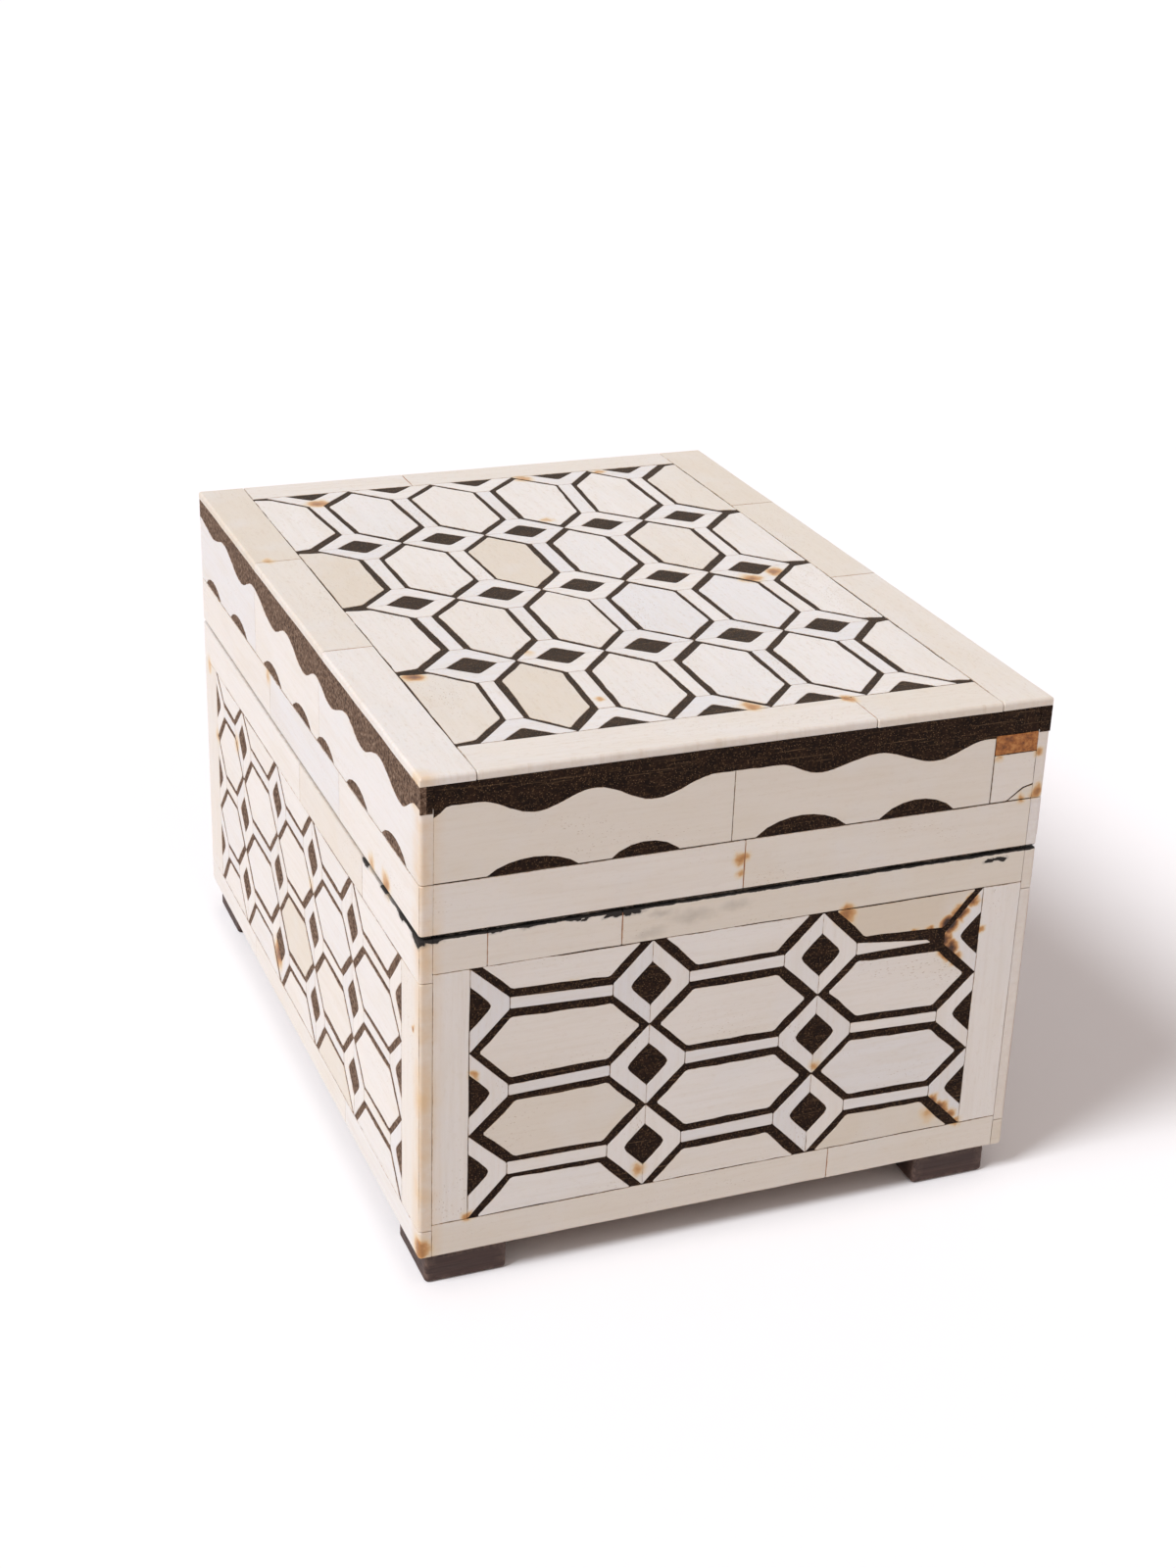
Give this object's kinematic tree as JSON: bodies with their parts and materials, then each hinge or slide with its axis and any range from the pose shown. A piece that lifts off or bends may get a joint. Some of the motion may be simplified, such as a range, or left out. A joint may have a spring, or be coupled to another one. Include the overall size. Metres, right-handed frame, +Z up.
{
  "type": "inlaid box",
  "caption": "Rectangular hinged wooden box on four block feet, faced all over with a lozenge and hexagon mosaic of bone in dark resin, its lid edged with a wavy frieze.",
  "frame": {"origin": "centre of the closed box's footprint, hinge barrels included, at the underside of the feet", "axes": "+Z up, short front side facing -Y, hinges on the +X side"},
  "size_m": [0.153, 0.2, 0.1262],
  "materials": {
    "bone": "polished camel bone, ivory with fine grain",
    "pale_bone": "polished camel bone, whiter border strips",
    "resin": "dark brown-black granular resin",
    "inlaid_wood": "wooden wall or board faced with its bone pieces",
    "carcass_wood": "plain reddish brown hardwood",
    "foot_wood": "dark stained wood, edges worn",
    "brass": "tarnished rolled brass"
  },
  "bodies": {
    "base": {"base_floor": "carcass_wood", "foot_front_left": "foot_wood", "foot_front_right": "foot_wood", "foot_back_left": "foot_wood", "foot_back_right": "foot_wood", "base_wall_front": "inlaid_wood", "base_resin_front": "resin", "base_top_rail_front": "bone", "base_bottom_rail_front": "bone", "base_left_stile_front": "pale_bone", "base_right_stile_front": "pale_bone", "base_wall_right": "inlaid_wood", "base_resin_right": "resin", "base_top_rail_right": "bone", "base_bottom_rail_right": "bone", "base_left_stile_right": "pale_bone", "base_right_stile_right": "pale_bone", "base_wall_back": "inlaid_wood", "base_resin_back": "resin", "base_top_rail_back": "bone", "base_bottom_rail_back": "bone", "base_left_stile_back": "pale_bone", "base_right_stile_back": "pale_bone", "base_wall_left": "inlaid_wood", "base_resin_left": "resin", "base_top_rail_left": "bone", "base_bottom_rail_left": "bone", "base_left_stile_left": "pale_bone", "base_right_stile_left": "pale_bone", "hinge_front_base_leaf": "brass", "hinge_front_pin": "brass", "hinge_back_base_leaf": "brass", "hinge_back_pin": "brass"},
    "lid": {"lid_wall_front": "inlaid_wood", "lid_resin_front": "resin", "lid_plain_strip_front": "pale_bone", "lid_wall_right": "inlaid_wood", "lid_resin_right": "resin", "lid_plain_strip_right": "pale_bone", "lid_wall_back": "inlaid_wood", "lid_resin_back": "resin", "lid_plain_strip_back": "pale_bone", "lid_wall_left": "inlaid_wood", "lid_resin_left": "resin", "lid_plain_strip_left": "pale_bone", "lid_board": "inlaid_wood", "lid_top_resin": "resin", "lid_top_strip_left": "pale_bone", "lid_top_strip_right": "pale_bone", "lid_top_strip_front": "pale_bone", "lid_top_strip_back": "pale_bone", "hinge_front_lid_leaf": "brass", "hinge_back_lid_leaf": "brass"}
  },
  "joints": [
    {"name": "lid_hinge", "type": "hinge", "parent": "base", "child": "lid", "pos_m": [0.0745, 0, 0.08887], "axis": [0, 1, 0], "range_deg": [0, 105]}
  ]
}
